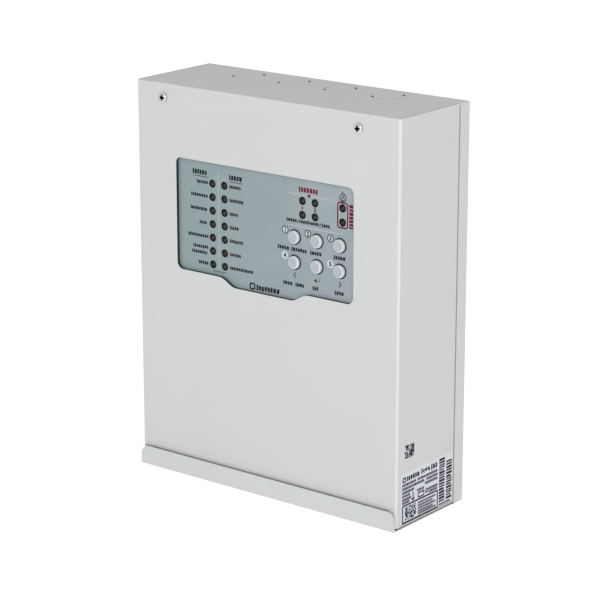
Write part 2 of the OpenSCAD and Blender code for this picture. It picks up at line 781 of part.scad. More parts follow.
module earth_stud() placed() color("#c9a94f") {
    y_rod(earth_stud_place, [back_y - 11, back_y], 2);
    facing_front(earth_stud_place, back_y - 1.8) cylinder(h = 3.2, r = 4.1, $fn = 6);
    y_rod(earth_stud_place, [back_y - 0.8, back_y], 4.5);
}

module cable_grommet() placed() color("#161617") {
    translate([grommet_place[0], case_d, grommet_place[1]]) rotate([90, 0, 0])
        rotate_extrude() difference() {
        union() {
            translate([grommet_r - 3, 0]) square([2.9, sheet + 2]);
            translate([grommet_r - 3, sheet]) square([6, 2.4]);
        }
        translate([grommet_r + 3, sheet + 2.4]) circle(1.2);
    }
}

// ---- batteries -------------------------------------------------------------

// tub with a lid seam and six vent plugs sunk in its top
module battery(i) {
    x = [battery_x, battery_x + battery_l];
    y = [battery_y[i], battery_y[i] + battery_t];
    seam_z = battery_top - 9;
    difference() {
        span_box(x, y, [sheet, battery_top]);
        difference() {
            span_box(x + [-1, 1], y + [-1, 1], [seam_z, seam_z + 0.6]);
            span_box(x + [0.4, -0.4], y + [0.4, -0.4], [seam_z - 1, seam_z + 2]);
        }
        for (k = [0 : 5])
            translate([battery_x + 34 + k * 22, battery_y[i] + battery_t / 2, battery_top - 0.4])
                cylinder(h = 1, r = 5);
    }
}

module battery_front() placed() color("#4d5257") battery(0);

module battery_rear() placed() color("#4d5257") battery(1);

tab_x = [battery_x + tab_inset, battery_x + battery_l - tab_inset];
tab_y = [for (y = battery_y) y + battery_t / 2];

module battery_tabs() placed() color("#c9c29a") {
    for (x = tab_x, y = tab_y) {
        span_box([x - 2.4, x + 2.4], [y - 3.5, y + 3.5], [battery_top, battery_top + 0.8]);
        span_box([x - 2.4, x + 2.4], [y - 0.4, y + 0.4], [battery_top, battery_top + tab_h]);
    }
}

function bracket_screw_places() = [for (x = [-112, -39, 34]) [x, bracket_y - 3.5]];

// angle that keeps the batteries from sliding out to the front
module battery_bracket() placed() color(zinc) difference() {
    x = [battery_x + 4, battery_x + battery_l - 4];
    union() {
        span_box(x, [bracket_y, bracket_y + sheet], [sheet, 28]);
        span_box(x, [bracket_y - 6.4, bracket_y + sheet], [sheet, 2 * sheet]);
    }
    for (p = bracket_screw_places()) translate([p[0], p[1], 0]) cylinder(h = 4, r = m3_clear_r);
}

module bracket_screws() placed() color(zinc) {
    for (p = bracket_screw_places()) translate([p[0], p[1], 2 * sheet])
        pan_screw(m3_shank_r, 2 * sheet - 0.3, m3_head_r, 1.6);
}

// ---- leads -----------------------------------------------------------------

// points inside the wire entries of the blocks
function plug_entry(plug, i) =
    [plug[0] + (i - 0.5) * power_pitch, main_y - block_h * 0.42, plug[1] - block_d / 2 + 2.5];
function psu_entry(i) = [psu_ways[i], psu_terminal_y + 6, 102];
function mains_entry(i) = [mains_ways[i], mains_y + 8, mains_z[0] + 4];

// a lead's end stands straight out of its entry or tab
function leave_up(p, d = 9) = [p, p + [0, 0, 0.4 * d], p + [0, 0, d]];
function leave_down(p, d = 9) = [p, p - [0, 0, 0.4 * d], p - [0, 0, d]];
function reversed(route) = [for (i = [len(route) - 1 : -1 : 0]) route[i]];

tab_end = battery_top + tab_h;

module red_leads() placed() color("#b3201f") {
    lead(concat(leave_up([tab_x[0], tab_y[1], tab_end], 12), [[-116, 66, 104], [-104, 68, 132]],
        reversed(leave_down(plug_entry(battery_plug, 0)))), wire_r, [0, 1, 0]);
    lead(concat(leave_up(psu_entry(1)), [[66, 70, 130]],
        reversed(leave_down(plug_entry(psu_plug, 1)))), wire_r, [0, 1, 0]);
    lead(concat(leave_up([tab_x[1], tab_y[0], tab_end]),
        [[tab_x[1], (tab_y[0] + tab_y[1]) / 2, tab_end + 20]],
        reversed(leave_up([tab_x[1], tab_y[1], tab_end]))), wire_r, [1, 0, 0]);
}

module black_leads() placed() color(plastic_black) {
    lead(concat(leave_up([tab_x[0], tab_y[0], tab_end], 12), [[-112, 50, 100], [-92, 64, 130]],
        reversed(leave_down(plug_entry(battery_plug, 1)))), wire_r, [0, 1, 0]);
    lead(concat(leave_up(psu_entry(0)), [[56, 68, 126]],
        reversed(leave_down(plug_entry(psu_plug, 0), 12))), wire_r, [0, 1, 0]);
}

// short mains leads bow a little to the front between the block and the supply
module mains_lead(way, psu_way) {
    a = mains_entry(way);
    b = psu_entry(psu_way);
    lead(concat(leave_down(a, 7), [(a + b) / 2 - [0, 5, 0]], reversed(leave_up(b, 7))), wire_r, [1, 0, 0]);
}

module live_lead() placed() color("#6b3a1e") mains_lead(3, 4);

module neutral_lead() placed() color("#2a57a8") mains_lead(2, 3);

module earth_leads() placed() color("#7fae2c") {
    mains_lead(1, 2);
    lead(concat([[earth_stud_place[0], back_y - 6.4, earth_stud_place[1] - 4.1],
        [earth_stud_place[0] + 2, back_y - 7, 122], [76, 87, 113]],
        reversed(leave_down(mains_entry(0)))), wire_r, [0, 1, 0]);
}

// ---- nodes -----------------------------------------------------------------

rear_box();
front_cover();
cover_screw_left();
cover_screw_right();
nut_brackets();
display_chassis();
chassis_screws();
overlay_film();
window_seal();
display_board();
board_spacers();
display_screws();
leds_green();
leds_yellow();
leds_red();
tact_switches();
button_1();
button_2();
button_3();
button_4();
button_5();
button_6();
buzzer();
display_chips();
ribbon_headers();
ribbon_cable();
ribbon_sockets();
main_board();
main_board_standoffs();
main_board_screws();
field_terminals();
terminal_screws();
relays();
capacitors();
main_chips();
glass_fuses();
fuse_clips();
heatsink();
power_transistor();
psu_case();
psu_lid();
psu_board();
psu_transformer();
psu_terminals();
psu_screws();
mains_terminal_block();
earth_stud();
cable_grommet();
battery_front();
battery_rear();
battery_tabs();
battery_bracket();
bracket_screws();
red_leads();
black_leads();
live_lead();
neutral_lead();
earth_leads();
rating_label();
code_sticker();
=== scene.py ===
"""Looks of a wall-mounted fire alarm control panel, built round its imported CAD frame."""

import json
import math
import random

import bpy
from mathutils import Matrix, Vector


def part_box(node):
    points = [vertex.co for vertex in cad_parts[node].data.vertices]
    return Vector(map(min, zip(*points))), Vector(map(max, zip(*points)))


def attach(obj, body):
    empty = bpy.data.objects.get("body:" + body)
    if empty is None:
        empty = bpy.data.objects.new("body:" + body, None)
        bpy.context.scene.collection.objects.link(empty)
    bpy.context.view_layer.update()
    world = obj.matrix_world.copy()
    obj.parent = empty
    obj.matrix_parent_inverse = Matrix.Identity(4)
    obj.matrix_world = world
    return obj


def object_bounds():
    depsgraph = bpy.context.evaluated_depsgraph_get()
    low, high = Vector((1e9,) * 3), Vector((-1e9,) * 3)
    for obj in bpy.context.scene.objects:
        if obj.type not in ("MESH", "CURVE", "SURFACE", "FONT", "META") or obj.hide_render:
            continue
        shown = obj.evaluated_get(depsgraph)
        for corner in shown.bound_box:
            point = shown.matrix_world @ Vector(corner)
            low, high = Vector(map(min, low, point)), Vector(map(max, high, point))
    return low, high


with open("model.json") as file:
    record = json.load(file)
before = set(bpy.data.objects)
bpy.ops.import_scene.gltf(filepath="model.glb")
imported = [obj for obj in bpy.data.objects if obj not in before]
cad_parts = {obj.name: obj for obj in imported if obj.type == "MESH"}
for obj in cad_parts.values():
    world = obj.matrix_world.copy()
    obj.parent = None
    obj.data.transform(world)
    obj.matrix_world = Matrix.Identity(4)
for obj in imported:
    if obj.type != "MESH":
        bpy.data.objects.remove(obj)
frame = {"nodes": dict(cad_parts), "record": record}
nodes = frame["nodes"]
cad_low, cad_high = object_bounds()

MM = 0.001
FAR = 400  # millimetres, beyond the case on every side

# ---- places ----------------------------------------------------------------
# Sizes are in millimetres: x from the middle, y back from the cover's front, z up from the underside.

COVER_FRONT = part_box("front_cover")[0].y
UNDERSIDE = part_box("rear_box")[0].z


def place(x, y, z):
    """A point of the case in the row frame, in metres."""
    return Vector((x * MM, COVER_FRONT + y * MM, UNDERSIDE + z * MM))


def to_case(point):
    """A point of the row frame, in metres, in millimetres of the case."""
    return (point[0] / MM, (point[1] - COVER_FRONT) / MM, (point[2] - UNDERSIDE) / MM)


def case_box(node):
    """A CAD node's lowest and highest corners in millimetres of the case."""
    return [to_case(corner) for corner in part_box(node)]


def solids(node):
    """The boxes of the separate solids in a CAD node, in millimetres of the case."""
    mesh = nodes[node].data
    key = [tuple(round(c, 6) for c in v.co) for v in mesh.vertices]
    parent = {k: k for k in key}

    def root(k):
        while parent[k] != k:
            parent[k] = parent[parent[k]]
            k = parent[k]
        return k

    for polygon in mesh.polygons:
        first = root(key[polygon.vertices[0]])
        for i in polygon.vertices[1:]:
            parent[root(key[i])] = first
    groups = {}
    for k in parent:
        groups.setdefault(root(k), []).append(k)
    boxes = []
    for points in groups.values():
        low = [min(p[a] for p in points) for a in range(3)]
        high = [max(p[a] for p in points) for a in range(3)]
        boxes.append([to_case(low), to_case(high)])
    return sorted(boxes)


def centre(box):
    return [(a + b) / 2 for a, b in zip(*box)]


# ---- materials -------------------------------------------------------------
# Colours and measures that the finishes share. Measures are in millimetres.

PAINT = (0.562, 0.580, 0.572)
# painted highlight along the sheet's sharp edges, which also stands for the thinner finish there
EDGE_HIGHLIGHT = (0.66, 0.672, 0.666)
# painted highlight on the sheet's rounded folds
FOLD_HIGHLIGHT = (0.645, 0.66, 0.653)
FILM = (0.232, 0.295, 0.303)
CAP = (0.39, 0.44, 0.46)
# painted highlight round a button cap's rim
CAP_RIM_HIGHLIGHT = (0.66, 0.70, 0.72)
STICKER = (0.62, 0.63, 0.69)

# how far back the black painted shade on the cut edge of the cover's window reaches
WINDOW_SHADE_Y = (0.04, 1.3)

# painted shade: the dark line in the gap behind the lip's top edge, which stops short of the right end
LIP_LINE_Y = (-1.83, 0.06)
LIP_LINE_Z = (15.2, 16.3)
LIP_LINE_END = 9
LIP_LINE_SHADE = 0.2

# painted shade in the seam behind the cover, measured from its rear edge, and in the gaps under its two
# sides
SEAM_Y = (-0.04, 1.55)
SEAM_END = 1.3
FOOT_Z = (1.1, 2.03)
FOOT_REACH = 3
GAP_SHADE = 0.05

# cable knockouts in the top, each with two ties on its rim, with painted shade in the ties
KNOCKOUT_X = (-72, -24, 24, 72)
KNOCKOUT_Y = 69.8
TIE_REACH = 13
TIE_TURN = math.radians(50)
TIE_HALF = 2.4
TIE_SHADE = 0.04

RECESS_DEPTH = 1.8  # of a cover screw's cross
WIRE_PITCH = 1.27  # of the ribbon cable
FUSE_CAP = 5  # length of a fuse's end cap
LID_LINE = 1  # height of the line pressed in below the groove of a battery's lid
LID_LINE_Z = 50


class Look:
    """A procedural material. Each method adds one layer to the finish."""

    def __init__(self, name, color, roughness, metallic=0.0, **shader):
        self.material = bpy.data.materials.new(name)
        self.material.use_nodes = True
        self.nodes = self.material.node_tree.nodes
        self.links = self.material.node_tree.links
        self.shader = self.nodes["Principled BSDF"]
        self.shader.inputs["Metallic"].default_value = metallic
        self.shader.inputs["Base Color"].default_value = (*color, 1)
        self.shader.inputs["Roughness"].default_value = roughness
        for socket, value in shader.items():  # specular_ior_level sets Specular IOR Level
            label = socket.replace("_", " ").title().replace("Ior", "IOR")
            self.shader.inputs[label].default_value = value
        self.at = self.nodes.new("ShaderNodeTexCoord").outputs["Object"]
        self.color = (*color, 1)
        self.normal = None

    def connect(self, value, socket):
        """Links a socket to another, or sets it to a number or a colour."""
        if isinstance(value, bpy.types.NodeSocket):
            self.links.new(value, socket)
        else:
            socket.default_value = value

    def math(self, operation, *values):
        node = self.nodes.new("ShaderNodeMath")
        node.operation = operation
        for i, value in enumerate(values):
            self.connect(value, node.inputs[i])
        return node.outputs[0]

    def ramp(self, value, low, high, to_low=0.0, to_high=1.0):
        """value, taken from low..high to to_low..to_high and kept inside them."""
        node = self.nodes.new("ShaderNodeMapRange")
        for i, part in enumerate((value, low, high, to_low, to_high)):
            self.connect(part, node.inputs[i])
        return node.outputs[0]

    def scaled(self, size, stretch=(1, 1, 1), turned=False):
        """Coordinates in which size, in millimetres, is one unit.

        turned lays X and Z in the texture's plane.
        """
        node = self.nodes.new("ShaderNodeMapping")
        self.links.new(self.at, node.inputs["Vector"])
        node.inputs["Rotation"].default_value.x = math.pi / 2 if turned else 0
        node.inputs["Scale"].default_value = [1 / (size * MM * s) for s in stretch]
        return node.outputs[0]

    def noise(self, size, detail=2.0, stretch=(1, 1, 1), roughness=0.5):
        node = self.nodes.new("ShaderNodeTexNoise")
        self.links.new(self.scaled(size, stretch), node.inputs["Vector"])
        node.inputs["Scale"].default_value = 1
        node.inputs["Detail"].default_value = detail
        node.inputs["Roughness"].default_value = roughness
        return node.outputs["Fac"]

    def cells(self, size, output="Color"):
        node = self.nodes.new("ShaderNodeTexVoronoi")
        self.links.new(self.scaled(size), node.inputs["Vector"])
        node.inputs["Scale"].default_value = 1
        return node.outputs[output]

    def axis(self, letter):
        """The X, Y or Z coordinate in the row frame, in metres."""
        node = self.nodes.new("ShaderNodeSeparateXYZ")
        self.links.new(self.at, node.inputs[0])
        return node.outputs[letter]

    def stripes(self, letter, pitch, share, start=0.0):
        """1 on a share of each pitch, in millimetres, along an axis."""
        shifted = self.math("SUBTRACT", self.axis(letter), start * MM)
        turns = self.math("FRACT", self.math("DIVIDE", shifted, pitch * MM))
        return self.math("LESS_THAN", turns, share)

    def inside(self, low, high):
        """1 between two points of the case, else 0."""
        result = None
        for letter, a, b in zip("XYZ", place(*low), place(*high)):
            coordinate = self.axis(letter)
            for operation, limit in (("GREATER_THAN", a), ("LESS_THAN", b)):
                test = self.math(operation, coordinate, limit)
                result = test if result is None else self.math("MULTIPLY", result, test)
        return result

    def facing(self, letter):
        """How squarely the surface faces along an axis, from 0 to 1."""
        geometry = self.nodes.new("ShaderNodeNewGeometry")
        turned = self.nodes.new("ShaderNodeVectorTransform")
        turned.vector_type = "NORMAL"
        turned.convert_from = "WORLD"
        turned.convert_to = "OBJECT"
        self.links.new(geometry.outputs["Normal"], turned.inputs[0])
        split = self.nodes.new("ShaderNodeSeparateXYZ")
        self.links.new(turned.outputs[0], split.inputs[0])
        return self.math("ABSOLUTE", split.outputs[letter])

    def tint(self, mask, color, strength=1.0):
        """Mixes a colour in where mask is 1."""
        node = self.nodes.new("ShaderNodeMix")
        node.data_type = "RGBA"
        self.connect(self.math("MULTIPLY", mask, strength), node.inputs["Factor"])
        self.connect(self.color, node.inputs["A"])
        node.inputs["B"].default_value = (*color, 1)
        self.color = node.outputs["Result"]
        self.links.new(self.color, self.shader.inputs["Base Color"])
        return self

    def mottle(self, size, color, strength, detail=3.0, stretch=(1, 1, 1)):
        """Cloudy variation towards another colour."""
        cloud = self.ramp(self.noise(size, detail, stretch), 0.35, 0.65)
        return self.tint(cloud, color, strength)

    def uneven(self, size, low, high, stretch=(1, 1, 1)):
        """Roughness that varies between low and high."""
        value = self.ramp(self.noise(size, 3.0, stretch), 0.3, 0.7, low, high)
        self.links.new(value, self.shader.inputs["Roughness"])
        return self

    def relief(self, height, depth, strength=1.0):
        """Bumps from a height of 0 to 1 over a depth in millimetres."""
        node = self.nodes.new("ShaderNodeBump")
        node.inputs["Strength"].default_value = strength
        node.inputs["Distance"].default_value = depth * MM
        self.connect(height, node.inputs["Height"])
        if self.normal:
            self.links.new(self.normal, node.inputs["Normal"])
        self.normal = node.outputs[0]
        self.links.new(self.normal, self.shader.inputs["Normal"])
        return self

    def edge_highlight(self, radius, color, strength):
        """Softened sharp edges, with a paler colour painted along them as a highlight."""
        soft = self.nodes.new("ShaderNodeBevel")
        soft.samples = 4
        soft.inputs["Radius"].default_value = radius * MM
        hard = self.nodes.new("ShaderNodeNewGeometry")
        dot = self.nodes.new("ShaderNodeVectorMath")
        dot.operation = "DOT_PRODUCT"
        self.links.new(soft.outputs[0], dot.inputs[0])
        self.links.new(hard.outputs["Normal"], dot.inputs[1])
        self.tint(self.ramp(dot.outputs["Value"], 0.99, 0.8), color, strength)
        self.normal = soft.outputs[0]
        self.links.new(self.normal, self.shader.inputs["Normal"])
        return self


def plastic(name, color, roughness, grain=0.6, depth=0.015, **shader):
    """Moulded plastic with a fine spark-eroded grain."""
    darker = [c * 0.8 for c in color]
    look = Look(name, color, roughness, **shader)
    look.mottle(9, darker, 0.35)
    look.uneven(3, roughness * 0.85, min(1, roughness * 1.2))
    return look.relief(look.noise(grain), depth)


def metal(name, color, roughness, stretch=(1, 1, 1)):
    """Bare or plated metal with drawn streaks and dull patches."""
    look = Look(name, color, roughness, 1.0)
    look.mottle(7, [c * 0.78 for c in color], 0.6, stretch=stretch)
    look.uneven(2.5, roughness * 0.7, roughness * 1.4, stretch)
    return look.relief(look.noise(0.5, stretch=stretch), 0.006)


def paint():
    """Light grey powder coat with fine orange peel; painted highlights on its folds and edges, black
    painted shade on the window's cut edges and in narrow gaps.
    """
    look = Look("sheet_paint", PAINT, 0.46, specular_ior_level=0.42)
    look.mottle(70, [c * 0.965 for c in PAINT], 1.0)
    look.mottle(2.2, [c * 0.985 for c in PAINT], 1.0)
    flattest = look.math("MAXIMUM", look.facing("X"), look.facing("Y"))
    flattest = look.math("MAXIMUM", flattest, look.facing("Z"))
    # paler where the surface turns between the axes: a painted highlight on the folds
    look.tint(look.ramp(flattest, 0.99, 0.86), FOLD_HIGHLIGHT)
    # paler along the sharp edges: a painted highlight, which also stands for the thinner finish there
    look.edge_highlight(0.35, EDGE_HIGHLIGHT, 0.75)
    low, high = case_box("overlay_film")
    front, back = WINDOW_SHADE_Y
    window = look.inside((low[0] - 2, front, low[2] - 6), (high[0] + 2, back, high[2] + 2))
    # the window's cut edges near black: painted shade in the recess
    edge = look.math("MULTIPLY", window, look.math("LESS_THAN", look.facing("Y"), 0.5))
    look.tint(edge, (0.012, 0.012, 0.013))
    # painted shade in the narrow gaps and on the knockouts' ties
    for low, high, shade in gaps():
        look.tint(look.inside(low, high), (shade, shade, shade))
    look.uneven(1.4, 0.4, 0.52)
    look.relief(look.noise(1.5, 1.5), 0.02)
    return look.relief(look.noise(0.35, 1.0), 0.006)


def gaps():
    """Painted shade in the narrow gaps between the case's sheets and round the knockouts, each box with
    how light it is inside.
    """
    top = case_box("rear_box")[1][2]
    low, high = case_box("front_cover")
    left, right, seam = low[0] - 1, high[0] + 1, high[1]
    (y0, y1), (z0, z1) = LIP_LINE_Y, LIP_LINE_Z
    yield (left, y0, z0), (right - LIP_LINE_END, y1, z1), LIP_LINE_SHADE
    y0, y1 = SEAM_Y
    yield (left, seam + y0, 0), (right, seam + y1, top - SEAM_END), GAP_SHADE
    z0, z1 = FOOT_Z
    for start in (left, right - FOOT_REACH):
        yield (start, 0, z0), (start + FOOT_REACH, seam, z1), GAP_SHADE
    for middle in KNOCKOUT_X:
        for side in (-1, 1):
            x = middle + side * TIE_REACH * math.cos(TIE_TURN)
            y = KNOCKOUT_Y + side * TIE_REACH * math.sin(TIE_TURN)
            corner = (x - TIE_HALF, y - TIE_HALF, top - 1)
            opposite = (x + TIE_HALF, y + TIE_HALF, top - 0.05)
            yield corner, opposite, TIE_SHADE


def zinc():
    """Zinc plated sheet with a faint spangle, and near black painted shade where it shows through the
    film's holes.
    """
    look = metal("zinc_steel", (0.52, 0.53, 0.55), 0.36, (1, 1, 5))
    split = look.nodes.new("ShaderNodeSeparateColor")
    look.links.new(look.cells(9), split.inputs[0])
    look.tint(split.outputs[0], (0.66, 0.68, 0.71), 0.35)
    low, high = case_box("overlay_film")
    # near black behind the film: painted shade seen through its holes
    behind = look.inside((low[0] + 1, low[1], low[2] + 1), (high[0] - 1, high[1] + 1.3, high[2] - 1))
    return look.tint(behind, (0.01, 0.01, 0.01))


def bright_screw():
    """Plated screw, with painted shade down in its cross recess."""
    look = metal("screw_steel", (0.72, 0.72, 0.73), 0.2)
    for node in ("cover_screw_left", "cover_screw_right"):
        low, high = case_box(node)
        x, _, z = centre((low, high))
        head = (high[0] - low[0]) / 2
        long, short = 0.62 * head, 0.25 * head
        for half_x, half_z in ((long, short), (short, long)):
            corner = (x - half_x, low[1] - 0.1, z - half_z)
            opposite = (x + half_x, low[1] + RECESS_DEPTH, z + half_z)
            # the cross recess near black: painted shade
            look.tint(look.inside(corner, opposite), (0.008, 0.008, 0.009))
    return look


def film():
    """Satin polyester overlay, grey-blue, cloudy, with a fine matt texture; paler towards the right as a
    painted reflection, with painted shade on its cut edges and back.
    """
    look = Look("film", FILM, 0.34, specular_ior_level=0.45)
    low, high = case_box("overlay_film")
    reflection_from = low[0] + 50
    # paler towards the right: a painted reflection of the lights
    across = look.ramp(look.axis("X"), reflection_from * MM, high[0] * MM)
    look.tint(across, [c * f for c, f in zip(FILM, (1.5, 1.27, 1.33))])
    look.mottle(60, [c * f for c, f in zip(FILM, (1.04, 0.99, 1.04))], 0.5)
    look.mottle(45, [c * f for c, f in zip(FILM, (0.9, 0.97, 0.96))], 0.4)
    look.uneven(1.2, 0.3, 0.4)
    # the film's cut edges, hole walls and back near black: painted shade
    cut_edge_shade = look.inside((low[0], low[1] + 0.02, low[2]), (high[0], high[1] + 1, high[2]))
    look.tint(cut_edge_shade, (0.02, 0.02, 0.02))
    return look.relief(look.noise(0.3), 0.004)


def circuit_board():
    """Green solder resist over copper: tracks, pours and small plated vias."""
    look = Look("circuit_board", (0.012, 0.115, 0.045), 0.3, specular_ior_level=0.6)
    tracks = look.nodes.new("ShaderNodeTexBrick")
    look.links.new(look.scaled(5.1, turned=True), tracks.inputs["Vector"])
    tracks.inputs["Scale"].default_value = 1
    tracks.inputs["Mortar Size"].default_value = 0.07
    tracks.inputs["Mortar Smooth"].default_value = 0.2
    pours = look.math("GREATER_THAN", look.noise(26, 1.0), 0.52)
    look.tint(pours, (0.02, 0.17, 0.065), 0.8)
    look.tint(tracks.outputs["Fac"], (0.03, 0.23, 0.09), 0.9)
    vias = look.math("LESS_THAN", look.cells(6.2, "Distance"), 0.07)
    look.tint(vias, (0.6, 0.5, 0.3))
    look.uneven(2, 0.22, 0.36)
    return look.relief(look.math("MAXIMUM", pours, tracks.outputs["Fac"]), 0.03)


def lamp(name, color):
    """Tinted, diffused lamp body, unlit: dark, glossy, a little clear."""
    look = Look(name, color, 0.3, coat_weight=0.3, specular_ior_level=0.25)
    look.mottle(2, [c * 0.6 for c in color], 0.6)
    look.uneven(1, 0.24, 0.36)
    return look.relief(look.noise(0.8), 0.01)


def button_cap():
    """Pale grey caps, with a painted highlight round the rim and painted shade where they go down
    through the film.
    """
    look = plastic("button_cap", CAP, 0.36, 0.5, 0.012)
    # paler where the surface turns from the face: a painted highlight round the rim
    look.tint(look.ramp(look.facing("Y"), 0.98, 0.85), CAP_RIM_HIGHLIGHT)
    film_face = case_box("overlay_film")[0][1]
    # near black behind the film's face: painted shade where the caps go down through the film
    sunk_shade = look.inside((-FAR, film_face - 0.3, -FAR), (FAR, FAR, FAR))
    return look.tint(sunk_shade, (0.02, 0.02, 0.021))


def ribbon():
    """Flat cable: ridged conductors at their pitch, the first one red."""
    look = Look("ribbon", (0.36, 0.37, 0.38), 0.42)
    left = case_box("ribbon_cable")[0][0]
    groove = look.stripes("X", WIRE_PITCH, 0.14, left)
    look.tint(groove, (0.14, 0.145, 0.15), 0.8)
    first = look.inside((left - 1, -FAR, -FAR), (left + 1.2, FAR, FAR))
    look.tint(first, (0.42, 0.03, 0.03))
    return look.relief(groove, 0.3, 0.7)


def wire(name, color):
    """Soft insulation, slightly uneven."""
    look = Look(name, color, 0.36, specular_ior_level=0.5)
    look.mottle(6, [c * 0.75 for c in color], 0.5)
    look.uneven(2, 0.3, 0.46)
    return look.relief(look.noise(0.8), 0.03)


def earth_wire():
    """Green insulation with yellow bands."""
    look = wire("wire_green_yellow", (0.05, 0.24, 0.04))
    return look.tint(look.stripes("X", 2.2, 0.45), (0.72, 0.6, 0.03))


def winding():
    """Transformer: yellow tape wound in courses over a dark core."""
    look = Look("winding_yellow", (0.72, 0.5, 0.06), 0.4, coat_weight=0.2)
    course = look.stripes("Z", 4.5, 0.08)
    look.tint(course, (0.4, 0.27, 0.03), 0.8)
    look.mottle(5, (0.6, 0.4, 0.05), 0.6)
    return look.relief(course, 0.15)


def sleeve():
    """Capacitor sleeve: near black, a pale band down one side, a bare aluminium top."""
    look = Look("capacitor_sleeve", (0.014, 0.018, 0.04), 0.3, coat_weight=0.3)
    for low, high in solids("capacitors"):
        reach = 0.14 * (high[0] - low[0])
        band = look.inside((low[0] - 1, low[1] + 1, low[2]), (low[0] + reach, high[1], high[2]))
        look.tint(band, (0.5, 0.52, 0.55), 0.9)
        top = look.inside((low[0] + 1, low[1] - 1, low[2] + 1), (high[0] - 1, low[1] + 0.4, high[2] - 1))
        look.tint(top, (0.55, 0.56, 0.57), 0.9)
    return look.relief(look.noise(1.5), 0.02)


def fuse_glass():
    """Glass tube with bright end caps."""
    look = Look("fuse_glass", (0.8, 0.84, 0.85), 0.08, transmission_weight=0.75, ior=1.5)
    for low, high in solids("glass_fuses"):
        for x in (low[0], high[0]):
            corner = (x - FUSE_CAP, low[1] - 1, low[2] - 1)
            opposite = (x + FUSE_CAP, high[1] + 1, high[2] + 1)
            look.tint(look.inside(corner, opposite), (0.6, 0.61, 0.63), 0.9)
    return look.relief(look.noise(2), 0.01)


def battery_case():
    """Grained grey case with a line below its lid, one stripe in a pitch wider than the case."""
    look = plastic("battery_grey", (0.075, 0.085, 0.1), 0.5, 0.9, 0.03)
    line = look.stripes("Z", FAR, LID_LINE / FAR, LID_LINE_Z + UNDERSIDE / MM)
    return look.relief(line, 0.3)


def sticker_face():
    """Satin label stock, a little uneven."""
    look = Look("sticker", STICKER, 0.4, specular_ior_level=0.45)
    look.mottle(30, [c * 0.96 for c in STICKER], 0.8)
    look.mottle(3, [c * 0.985 for c in STICKER], 0.8)
    return look.relief(look.noise(2.5), 0.01)


def ink(name, color, roughness=0.45):
    """Screen print, a little patchy."""
    look = Look(name, color, roughness, specular_ior_level=0.15)
    look.mottle(0.8, [c * 1.25 for c in color], 0.5)
    look.uneven(0.7, roughness * 0.85, roughness * 1.15)
    return look.relief(look.noise(0.25), 0.003)


LOOKS = {
    "sheet_paint": paint(),
    "zinc_steel": zinc(),
    "screw_steel": bright_screw(),
    "brass": metal("brass", (0.66, 0.48, 0.2), 0.3),
    "film": film(),
    "circuit_board": circuit_board(),
    "lamp_green": lamp("lamp_green", (0.012, 0.02, 0.014)),
    "lamp_yellow": lamp("lamp_yellow", (0.019, 0.017, 0.013)),
    "lamp_red": lamp("lamp_red", (0.022, 0.01, 0.011)),
    "button_cap": button_cap(),
    "black_plastic": plastic("black_plastic", (0.018, 0.018, 0.02), 0.42),
    "chip_black": plastic("chip_black", (0.022, 0.022, 0.024), 0.5, 0.3, 0.01),
    "ribbon": ribbon(),
    "terminal_green": plastic("terminal_green", (0.03, 0.25, 0.07), 0.38, 0.7),
    "relay_blue": plastic("relay_blue", (0.02, 0.06, 0.2), 0.3, 1.2, coat_weight=0.2),
    "capacitor_sleeve": sleeve(),
    "fuse_glass": fuse_glass(),
    "bare_aluminium": metal("bare_aluminium", (0.7, 0.71, 0.72), 0.34, (1, 1, 8)),
    "winding_yellow": winding(),
    "terminal_cream": plastic("terminal_cream", (0.66, 0.62, 0.5), 0.42),
    "seal_foam": plastic("seal_foam", (0.014, 0.014, 0.015), 0.85, 0.25, 0.06),
    "grommet_rubber": plastic("grommet_rubber", (0.013, 0.013, 0.013), 0.6, 0.8, 0.03),
    "battery_grey": battery_case(),
    "wire_red": wire("wire_red", (0.45, 0.015, 0.012)),
    "wire_black": wire("wire_black", (0.015, 0.015, 0.016)),
    "wire_brown": wire("wire_brown", (0.13, 0.045, 0.02)),
    "wire_blue": wire("wire_blue", (0.02, 0.09, 0.38)),
    "wire_green_yellow": earth_wire(),
    "sticker": sticker_face(),
}

BLACK_INK = ink("black_ink", (0.004, 0.004, 0.006))
WHITE_INK = ink("white_ink", (0.52, 0.56, 0.57))
PALE_INK = ink("pale_ink", (0.5, 0.55, 0.57))
RED_INK = ink("red_ink", (0.14, 0.005, 0.024))
GREEN_INK = ink("green_ink", (0.05, 0.16, 0.08))
LABEL_INK = ink("label_ink", (0.005, 0.006, 0.012))
LEGEND_INK = ink("legend_ink", (0.72, 0.74, 0.7))

for part in frame["record"]["subparts"]:
    surface = nodes[part["node"]].data
    surface.materials.clear()
    surface.materials.append(LOOKS[part["material_slot"]].material)

# ---- print -----------------------------------------------------------------


